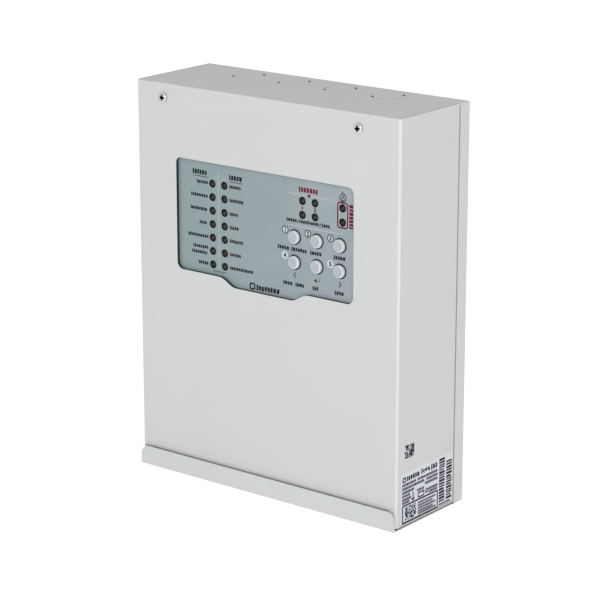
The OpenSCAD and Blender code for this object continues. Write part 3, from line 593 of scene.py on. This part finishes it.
class Print:
    """Flat shapes printed on one face: u to the right, v up, in millimetres."""

    def __init__(self, to_row, thickness=0.03):
        self.to_row = to_row
        self.thickness = thickness
        self.vertices = []
        self.faces = []

    def shape(self, outline):
        """A closed plate from a convex or simple outline that runs anticlockwise."""
        n = len(outline)
        first = len(self.vertices)
        for height in (0, self.thickness):
            self.vertices += [self.to_row(u, v, height) for u, v in outline]
        self.faces.append([first + i for i in reversed(range(n))])
        self.faces.append([first + n + i for i in range(n)])
        for i in range(n):
            j = (i + 1) % n
            self.faces.append([first + i, first + j, first + n + j, first + n + i])

    def bar(self, u0, u1, v0, v1):
        self.shape([(u0, v0), (u1, v0), (u1, v1), (u0, v1)])

    def line(self, a, b, width):
        along = Vector((b[0] - a[0], b[1] - a[1])).normalized() * width / 2
        side = (-along.y, along.x)
        self.shape(
            [
                (a[0] - side[0], a[1] - side[1]),
                (b[0] - side[0], b[1] - side[1]),
                (b[0] + side[0], b[1] + side[1]),
                (a[0] + side[0], a[1] + side[1]),
            ]
        )

    def path(self, points, width, closed=False):
        """A line of even width along points, mitred at its corners."""
        n = len(points)
        rims = []
        for i, p in enumerate(points):
            before = points[i - 1] if closed or i else p
            after = points[(i + 1) % n] if closed or i < n - 1 else p
            a = Vector((p[0] - before[0], p[1] - before[1]))
            b = Vector((after[0] - p[0], after[1] - p[1]))
            a = a.normalized() if a.length else b.normalized()
            b = b.normalized() if b.length else a
            along = (a + b).normalized()
            reach = width / 2 / max(0.5, along.dot(a))
            side = (-along.y * reach, along.x * reach)
            rims.append([(p[0] - side[0], p[1] - side[1]), (p[0] + side[0], p[1] + side[1])])
        first = len(self.vertices)
        for (u0, v0), (u1, v1) in rims:
            for u, v, height in ((u0, v0, 0), (u1, v1, 0), (u1, v1, 1), (u0, v0, 1)):
                self.vertices.append(self.to_row(u, v, height * self.thickness))
        for i in range(n if closed else n - 1):
            a = first + 4 * i
            b = first + 4 * ((i + 1) % n)
            for k in range(4):
                m = (k + 1) % 4
                self.faces.append([a + k, a + m, b + m, b + k])
        if not closed:
            last = first + 4 * (n - 1)
            self.faces.append([first + 3, first + 2, first + 1, first])
            self.faces.append([last, last + 1, last + 2, last + 3])

    def frame(self, u0, u1, v0, v1, r, width, steps=6):
        """The outline of a box with round corners."""
        self.path(rounded_box(u0, u1, v0, v1, r, steps), width, closed=True)

    def ring(self, middle, inner, outer, steps=36):
        radius = (inner + outer) / 2
        self.path(circle(middle, radius, steps), outer - inner, closed=True)

    def disc(self, middle, radius, steps=28):
        self.shape(circle(middle, radius, steps))

    def words(self, u0, u1, v, height, seed, weight=0.74):
        """A run of blocks with short nubs, which stands for lettering without spelling anything.

        weight is the share of the height that the blocks fill.
        """
        rng = random.Random(seed)
        gap, nub = 0.15 * height, 0.2 * height
        foot = v + height * (1 - weight) / 2
        head = foot + weight * height
        u = u0 + 0.5 * height
        self.bar(u0, u - gap, v, v + height)
        while u < u1 - 0.4 * height:
            width = min(rng.uniform(0.42, 0.7) * height, u1 - u)
            self.bar(u, u + width, foot, head)
            for side in rng.sample((u, u + width - nub), rng.choice((1, 1, 2))):
                if rng.random() < 0.5:
                    self.bar(side, side + nub, head, v + height)
                else:
                    self.bar(side, side + nub, v, foot)
            u += width + gap

    def blocks(self, u0, u1, v0, v1, columns, rows, seed, share=0.52):
        """A field of scattered squares that carries no code."""
        rng = random.Random(seed)
        du, dv = (u1 - u0) / columns, (v1 - v0) / rows
        for i in range(columns):
            for k in range(rows):
                if rng.random() < share:
                    self.bar(u0 + i * du, u0 + (i + 1) * du, v0 + k * dv, v0 + (k + 1) * dv)

    def digit(self, text, middle, height):
        """One numeral, filled, in a plain face."""
        curve = bpy.data.curves.new("numeral", "FONT")
        curve.body = text
        curve.align_x = "CENTER"
        curve.align_y = "CENTER"
        curve.resolution_u = 3
        curve.offset = 0.05  # a little bolder than the plain face
        holder = bpy.data.objects.new("numeral", curve)
        bpy.context.scene.collection.objects.link(holder)
        bpy.context.view_layer.update()
        mesh = holder.to_mesh()
        points = [v.co.copy() for v in mesh.vertices]
        tall = max(p.y for p in points) - min(p.y for p in points)
        mid_x = (max(p.x for p in points) + min(p.x for p in points)) / 2
        mid_y = (max(p.y for p in points) + min(p.y for p in points)) / 2
        scale = height / tall
        for polygon in mesh.polygons:
            outline = [
                (
                    middle[0] + (points[i].x - mid_x) * scale,
                    middle[1] + (points[i].y - mid_y) * scale,
                )
                for i in polygon.vertices
            ]
            area = sum(
                a[0] * b[1] - b[0] * a[1]
                for a, b in zip(outline, outline[1:] + outline[:1])
            )
            self.shape(outline if area > 0 else outline[::-1])
        holder.to_mesh_clear()
        bpy.data.objects.remove(holder)

    def make(self, name, look, body):
        mesh = bpy.data.meshes.new(name)
        mesh.from_pydata(self.vertices, [], self.faces)
        return finish_piece(name, mesh, look, body)


def circle(middle, radius, steps):
    turns = [2 * math.pi * i / steps for i in range(steps)]
    return [
        (middle[0] + radius * math.cos(t), middle[1] + radius * math.sin(t))
        for t in turns
    ]


def rounded_box(u0, u1, v0, v1, r, steps=6):
    """Outline of a box with round corners, anticlockwise."""
    points = []
    corners = ((u1 - r, v0 + r, -90), (u1 - r, v1 - r, 0), (u0 + r, v1 - r, 90), (u0 + r, v0 + r, 180))
    for u, v, start in corners:
        for i in range(steps + 1):
            t = math.radians(start + 90 * i / steps)
            points.append((u + r * math.cos(t), v + r * math.sin(t)))
    return points


def finish_piece(name, mesh, look, body):
    mesh.validate()
    mesh.materials.append(look.material)
    piece = bpy.data.objects.new(name, mesh)
    bpy.context.scene.collection.objects.link(piece)
    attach(piece, body)
    return piece


def on_film(u, v, height):
    return place(u, FILM_FACE - height, v)


def on_side(u, v, height):
    return place(SIDE_FACE + height, u, v)


FILM_FACE = case_box("overlay_film")[0][1]
SIDE_FACE = case_box("rating_label")[1][0]

LAMPS = [centre(box) for node in ("leds_green", "leds_yellow", "leds_red") for box in solids(node)]
COLUMN_Z = sorted({round(p[2], 1) for p in LAMPS if p[0] < 0}, reverse=True)
CAP_BOXES = [case_box(f"button_{i}") for i in range(1, 7)]
CAPS = [centre(box) for box in CAP_BOXES]
FLANGE_MARGIN = 0.8
HOLES = [(high[0] - low[0]) / 2 - FLANGE_MARGIN for low, high in CAP_BOXES]

# heights of the lettering on the film
TITLE = 4.2
CAPTION = 3.1
KEY_CAPTION = 3.5
TITLE_WEIGHT = 0.86
THIN_INK = 0.02

# captions beside the two columns of lamps: where the left ones end and the right ones start,
# and their lengths from the top row down
LEFT_END = -61.2
RIGHT_START = -38.1
LEFT_CAPTIONS = (11.8, 18.1, 18.9, 9.2, 21.8, 16.4, 10.6)
RIGHT_CAPTIONS = (12.8, 15.0, 8.8, 9.4, 15.1, 12.1, 25.4)
TWO_LINE_ROW = 5

# foot of the captions, and middle of the numbers, in the two rows of buttons
KEY_CAPTIONS_Z = (214.3, 185.3)
KEY_NUMBERS_Z = (231.0, 209.9)

# outline of a flame about its middle, anticlockwise from its foot
FLAME = (
    (0, -3.9), (2.2, -3.3), (3.3, -1.3), (2.9, 0.9), (1.9, 2.2), (1.2, 1.1),
    (0.6, 2.6), (-0.6, 4.0), (-0.9, 2.2), (-2.4, 0.6), (-3.2, -1.3), (-2.1, -3.3),
)


def print_film():
    """Everything printed on the film, with a generic mark: a rounded square and a run of blocks."""
    black = Print(on_film)
    white = Print(on_film, THIN_INK)
    pale = Print(on_film, THIN_INK)
    red = Print(on_film)
    green = Print(on_film)
    for x, _, z in LAMPS:
        black.ring((x, z), 2.5, 3.4)
    print_columns(black, white, pale)
    print_zones(black, white, red)
    print_keys(black, pale, red, green)
    black.frame(-16.7, -12.1, 175.6, 180.2, 1.0, 1.3)
    black.words(-10.1, 15.3, 175.2, 4.8, 7, 0.7)
    black.make("film_print_black", BLACK_INK, "case")
    white.make("film_print_white", WHITE_INK, "case")
    pale.make("film_print_pale", PALE_INK, "case")
    red.make("film_print_red", RED_INK, "case")
    green.make("film_print_green", GREEN_INK, "case")


def print_columns(black, white, pale):
    """Two columns of lamp captions either side of a pale line."""
    black.words(-77.5, -60.5, 263.8, TITLE, 11, TITLE_WEIGHT)
    black.bar(-76.4, -61.4, 262.2, 262.75)
    black.words(-38.4, -23.5, 263.4, TITLE, 12, TITLE_WEIGHT)
    black.bar(-37.8, -24.2, 261.7, 262.25)
    pale.bar(-49.98, -49.66, 186, 269.4)
    for u0, u1 in ((-54.2, -51.4), (-46.4, -42.8)):
        white.bar(u0, u1, 262.9, 263.2)
    black.words(-56.2, -42.1, 183.8, 0.9, 13, 0.4)
    for row, (left, right, z) in enumerate(zip(LEFT_CAPTIONS, RIGHT_CAPTIONS, COLUMN_Z)):
        foot = left_foot = z - 1.6
        if row == TWO_LINE_ROW:
            black.words(-79.0, LEFT_END, z - 4.4, CAPTION, 35)
            left_foot = z + 0.5
        black.words(LEFT_END - left, LEFT_END, left_foot, CAPTION, 20 + row)
        black.words(RIGHT_START, RIGHT_START + right, foot, CAPTION, 40 + row)


def print_zones(black, white, red):
    """Zone lamps with their numbers, and the alarm pair in its red frame."""
    red.words(33.8, 54.6, 264.3, TITLE, 51, TITLE_WEIGHT)
    white.bar(21.3, 66.6, 261.9, 262.2)
    red.shape([(44.1, 260.4), (46.0, 262.2), (44.1, 263.9), (42.2, 262.2)])
    black.digit("1", (37.4, 251.5), 3.2)
    black.digit("2", (50.1, 251.5), 3.2)
    for u0, u1, seed in ((21.3, 31.5, 52), (34.3, 54.2, 53), (57.0, 66.4, 54)):
        black.words(u0, u1, 238.5, CAPTION, seed)
    for u in (32.2, 54.9):
        black.line((u, 238.2), (u + 1.2, 241.8), 0.6)
    white.bar(23.3, 77.7, 235.8, 236.1)
    alarm = [p for p in LAMPS if p[0] > 70]  # the pair at the far right
    x = alarm[0][0]
    low = min(p[2] for p in alarm) - 4.4
    high = max(p[2] for p in alarm) + 4.4
    red.frame(x - 4.9, x + 4.9, low, high, 2.2, 1.25)
    upright = Print(lambda u, v, height: on_film(-v, u, height))  # u runs up, v to the left
    upright.words(low + 0.4, high - 0.2, -x - 10.8, 4.4, 55, 0.88)
    upright.make("film_print_alarm", RED_INK, "case")
    black.path([(x + u, 266.4 + v) for u, v in FLAME], 0.65, closed=True)
    black.path([(x + 0.45 * u, 265.2 + 0.5 * v) for u, v in FLAME], 0.55, closed=True)


def print_keys(black, pale, red, green):
    """Rims, numbers and captions round the six buttons."""
    for (x, _, z), hole in zip(CAPS, HOLES):
        black.ring((x, z), hole + 0.05, hole + 0.35)
    upper, lower = KEY_NUMBERS_Z
    for number, x in (("1", 19.9), ("2", 42.9), ("3", 65.8)):
        pale.disc((x, upper), 2.7)
        black.ring((x, upper), 2.5, 3.3)
        black.digit(number, (x, upper), 3.7)
    for number, x in (("4", 19.5), ("5", 65.6)):
        pale.disc((x, lower), 3.3)
        black.digit(number, (x, lower), 3.8)
    upper, lower = KEY_CAPTIONS_Z
    for i, (u0, u1) in enumerate(((12.3, 24.6), (26.2, 41.7), (45.3, 58.2), (69.0, 80.9))):
        black.words(u0, u1, upper, KEY_CAPTION, 60 + i)
    for i, (u0, u1) in enumerate(((17.9, 28.6), (30.4, 39.8), (47.8, 54.8), (70.2, 78.9))):
        black.words(u0, u1, lower, KEY_CAPTION, 70 + i)
    left, middle, right = (p[0] for p in sorted(CAPS)[::2])
    level = 194.6
    for x, side in ((left, 1), (right, -1)):
        tips = [(x + side, level + 2.4), (x - side, level), (x + side, level - 2.4)]
        black.path(tips, 0.75)
    level = 193.6
    green.path([(middle - 0.8, level), (middle + 2.6, level), (middle + 2.6, level + 3)], 0.7)
    red.shape([(middle - 3.8, level), (middle - 0.6, level - 1.7), (middle - 0.6, level + 1.7)])


def print_side():
    """Bars and blocks on the two stickers on the cover's side."""
    black = Print(on_side)
    black.frame(8.5, 11.9, 39.2, 42.6, 0.6, 1.3)
    black.words(13.6, 32.0, 38.9, 4.4, 81, 0.8)
    black.words(33.6, 46.0, 39.4, 4.6, 82, 0.5)
    black.words(47.4, 57.0, 38.9, 5.0, 83, 0.75)
    small_print = (  # foot, start and end of each run
        (35.3, 7.6, 27.0), (35.3, 28.4, 57.0), (32.1, 7.6, 39.0), (32.1, 41.0, 57.0),
        (28.9, 7.6, 25.0), (28.9, 39.0, 57.0), (25.9, 7.6, 19.0), (25.9, 28.0, 38.0),
        (22.9, 7.6, 20.0), (22.9, 44.0, 57.0), (20.2, 7.6, 17.5), (20.2, 44.5, 57.0),
    )
    for i, (v, u0, u1) in enumerate(small_print):
        black.words(u0, u1, v, 2.5, 90 + i, 0.88)
    black.path([(22.6, 20.4), (22.6, 28.0)], 1.3)
    black.path([(20.6, 22.6), (22.6, 20.4), (24.6, 22.6)], 1.1)
    black.frame(29.8, 37.6, 20.8, 24.6, 0.6, 1.2)
    black.ring((41.6, 23.4), 0.9, 2.1)
    black.frame(8.4, 56.8, 4.3, 19.0, 0.8, 1.4)
    black.blocks(11.6, 26.6, 6.0, 17.4, 16, 13, 101, 0.64)
    for i, v in enumerate((15.0, 12.6, 10.2, 7.8, 5.7)):
        black.words(29.6, 54.2 - 4 * (i % 2), v, 1.9, 110 + i, 0.9)
    print_bars(black, 58.9, 66.8, 7.7, 44.6, 121)
    print_bars(black, 69.0, 76.9, 7.6, 40.6, 122)
    black.words(58.9, 75.0, 4.5, 2.0, 123, 0.8)
    black.bar(6.4, 77.3, 3.42, 3.9)
    black.make("label_print", LABEL_INK, "cover")
    code = Print(on_side)
    low, high = case_box("code_sticker")
    code.blocks(low[1] + 0.4, high[1] - 0.4, low[2] + 0.2, high[2] - 0.2, 13, 13, 133, 0.68)
    code.make("code_print", LABEL_INK, "cover")


def print_bars(target, u0, u1, v0, v1, seed):
    """A stack of strokes across a narrow column."""
    rng = random.Random(seed)
    v = v0
    while v < v1 - 1:
        thick = rng.choice((1.3, 1.6, 2.1))
        target.bar(u0, u1 - rng.choice((0, 0, 1.2)), v, v + thick)
        v += thick + rng.choice((0.6, 0.8))


# ---- inside the case ---------------------------------------------------------


def on_board(u, v, height):
    return place(u, BOARD_FACE - height, v)


def on_battery(u, v, height):
    return place(u, BATTERY_FACE - height, v)


BOARD_FACE = case_box("main_board")[0][1]
BATTERY_FACE = case_box("battery_front")[0][1]
SEATED = 2  # a part's foot is this near the board's face if it stands on it
BOARD_GRID = 1.27
BOARD_MARGIN = 4
TRIES_PER_PART = 60
BOARD_PARTS = (
    "field_terminals", "relays", "capacitors", "main_chips", "glass_fuses", "fuse_clips",
    "heatsink", "power_transistor", "main_board_screws", "ribbon_headers", "ribbon_sockets",
)


def taken_areas():
    """The rectangles (u0, u1, v0, v1) that parts cover on the main board."""
    areas = []
    for node in BOARD_PARTS:
        for low, high in solids(node):
            if abs(high[1] - BOARD_FACE) < SEATED:
                areas.append((low[0], high[0], low[2], high[2]))
    return areas


def apart(a, b, gap):
    """True if two rectangles (u0, u1, v0, v1) are more than gap from each other."""
    return a[1] + gap < b[0] or b[1] + gap < a[0] or a[3] + gap < b[2] or b[3] + gap < a[2]


def clear_spots(count, half_u, half_v, taken, rng):
    """Places on a fine grid for equal rectangles that keep clear of everything taken."""
    low, high = case_box("main_board")
    columns = int((high[0] - low[0] - 2 * BOARD_MARGIN) / BOARD_GRID)
    rows = int((high[2] - low[2] - 2 * BOARD_MARGIN) / BOARD_GRID)
    spots = []
    for _ in range(TRIES_PER_PART * count):
        u = low[0] + BOARD_MARGIN + BOARD_GRID * rng.randrange(columns)
        v = low[2] + BOARD_MARGIN + BOARD_GRID * rng.randrange(rows)
        area = (u - half_u, u + half_u, v - half_v, v + half_v)
        if len(spots) < count and all(apart(area, other, 0.7) for other in taken):
            taken.append(area)
            spots.append((u, v))
    return spots


def chamfered(u, v, half_u, half_v, cut):
    """Outline of a box with its corners cut off, anticlockwise."""
    return [
        (u - half_u + cut, v - half_v), (u + half_u - cut, v - half_v),
        (u + half_u, v - half_v + cut), (u + half_u, v + half_v - cut),
        (u + half_u - cut, v + half_v), (u - half_u + cut, v + half_v),
        (u - half_u, v + half_v - cut), (u - half_u, v - half_v + cut),
    ]


def fit_board():
    """Chip resistors, chip capacitors and power diodes with tinned ends, and their legend."""
    rng = random.Random(17)
    taken = taken_areas()
    legend = Print(on_board)
    for u0, u1, v0, v1 in taken:
        legend.frame(u0 - 0.5, u1 + 0.5, v0 - 0.5, v1 + 0.5, 0.4, 0.25, steps=2)
    kinds = (  # name, number, half width, half height, thickness, slot
        ("diodes", 14, 2.3, 1.3, 2.1, "chip_black"),
        ("chip_resistors", 70, 1.5, 0.75, 0.5, "chip_black"),
        ("chip_capacitors", 50, 1.1, 0.65, 0.8, "terminal_cream"),
    )
    ends = Print(on_board, 0.45)
    for name, count, half_u, half_v, tall, slot in kinds:
        bodies = Print(on_board, tall)
        for u, v in clear_spots(count, half_u, half_v, taken, rng):
            bodies.shape(chamfered(u, v, half_u - 0.3, half_v, 0.15))
            for side in (-1, 1):
                ends.shape(chamfered(u + side * (half_u - 0.2), v, 0.35, half_v - 0.1, 0.1))
            legend.bar(u - half_u, u + half_u, v + half_v + 0.2, v + half_v + 0.35)
        bodies.make(name, LOOKS[slot], "case")
    ends.make("tinned_ends", LOOKS["bare_aluminium"], "case")
    legend.make("board_legend", LEGEND_INK, "case")


def label_battery():
    """A pale plate with bars for lettering on the front battery."""
    low, high = case_box("battery_front")
    inset, thick = 36, 0.12
    u0, u1 = low[0] + inset, high[0] - inset
    v0, v1 = case_box("battery_bracket")[1][2] + 2.5, high[2] - 12
    plate = Print(on_battery, thick)
    plate.shape(rounded_box(u0, u1, v0, v1, 1.5))
    plate.make("battery_label", LOOKS["sticker"], "case")
    text = Print(lambda u, v, height: on_battery(u, v, height + thick))
    text.bar(u0 + 2, u1 - 2, v1 - 9, v1 - 7.8)
    text.words(u0 + 3, u0 + 38, v1 - 6.6, 4.6, 141, 0.8)
    for row in range(3):
        text.words(u0 + 3, u0 + 52 - 9 * row, v1 - 13.4 - 4.2 * row, 2.4, 142 + row)
        text.words(u0 + 60, u1 - 8 - 6 * row, v1 - 13.4 - 4.2 * row, 2.4, 146 + row)
    text.make("battery_print", LABEL_INK, "case")


# ---- studio ----------------------------------------------------------------

BACKDROP_LEVEL = 1.05  # what the camera sees round the case
SKY_LEVEL = 0.4  # light from the horizon
SKY_ABOVE = 1.08  # light from overhead
MAIN_LIGHT = 25
FILL_LIGHT = 4
FLOOR_GLOW = 0.46


def studio():
    """White surroundings, brighter overhead, two large soft lights in front, a pale floor."""
    world = bpy.data.worlds.new("studio")
    bpy.context.scene.world = world
    world.use_nodes = True
    tree = world.node_tree
    background = tree.nodes["Background"]
    sky = tree.nodes.new("ShaderNodeBackground")
    background.inputs["Color"].default_value = (1, 1, 1, 1)
    background.inputs["Strength"].default_value = BACKDROP_LEVEL
    direction = tree.nodes.new("ShaderNodeTexCoord")
    split = tree.nodes.new("ShaderNodeSeparateXYZ")
    height = tree.nodes.new("ShaderNodeMapRange")
    tree.links.new(direction.outputs["Generated"], split.inputs[0])
    tree.links.new(split.outputs["Z"], height.inputs[0])
    height.inputs[1].default_value = 0.0
    height.inputs[2].default_value = 0.9
    height.inputs[3].default_value = SKY_LEVEL
    height.inputs[4].default_value = SKY_ABOVE
    tree.links.new(height.outputs[0], sky.inputs["Strength"])
    path = tree.nodes.new("ShaderNodeLightPath")
    mix = tree.nodes.new("ShaderNodeMixShader")
    tree.links.new(path.outputs["Is Camera Ray"], mix.inputs[0])
    tree.links.new(sky.outputs[0], mix.inputs[1])
    tree.links.new(background.outputs[0], mix.inputs[2])
    tree.links.new(mix.outputs[0], tree.nodes["World Output"].inputs["Surface"])
    add_light("front_right", 40, 22, 2.6, 1.5, MAIN_LIGHT)
    add_light("front_left", -35, 25, 3.0, 2.0, FILL_LIGHT)
    add_floor()


def add_light(name, azimuth, elevation, distance, size, power):
    """A square light that faces the case, at angles in degrees from straight in front."""
    data = bpy.data.lights.new(name, "AREA")
    data.size = size
    data.energy = power
    light = bpy.data.objects.new(name, data)
    bpy.context.scene.collection.objects.link(light)
    middle = (cad_low + cad_high) / 2
    a, e = math.radians(azimuth), math.radians(elevation)
    back = Vector((math.sin(a) * math.cos(e), -math.cos(a) * math.cos(e), math.sin(e)))
    light.location = middle + back * distance
    light.rotation_mode = "QUATERNION"
    light.rotation_quaternion = (-back).to_track_quat("-Z", "Y")


def add_floor():
    """A wide pale floor just under the case, lit a little from within so that it fades to white."""
    reach = 30
    z = cad_low.z - 0.2 * MM
    mesh = bpy.data.meshes.new("floor")
    mesh.from_pydata(
        [(-reach, -reach, z), (reach, -reach, z), (reach, reach, z), (-reach, reach, z)],
        [],
        [(0, 1, 2, 3)],
    )
    look = Look("floor", (0.82, 0.82, 0.82), 0.7, specular_ior_level=0.2)
    look.mottle(400, (0.8, 0.8, 0.8), 1.0)
    look.shader.inputs["Emission Color"].default_value = (1, 1, 1, 1)
    look.shader.inputs["Emission Strength"].default_value = FLOOR_GLOW
    mesh.materials.append(look.material)
    floor = bpy.data.objects.new("floor", mesh)
    bpy.context.scene.collection.objects.link(floor)


def camera():
    """A three-quarter view from the right and a little above."""
    data = bpy.data.cameras.new("camera")
    data.sensor_width = 36
    data.lens = 142.6
    eye = Vector((1.173, -1.538, 0.533))
    target = Vector((-0.010, -0.033, -0.014))
    viewer = bpy.data.objects.new("camera", data)
    bpy.context.scene.collection.objects.link(viewer)
    viewer.location = eye
    viewer.rotation_mode = "QUATERNION"
    viewer.rotation_quaternion = (target - eye).to_track_quat("-Z", "Y")
    bpy.context.scene.camera = viewer
    bpy.context.scene.view_settings.view_transform = "Standard"


print_film()
print_side()
fit_board()
label_battery()
studio()
camera()
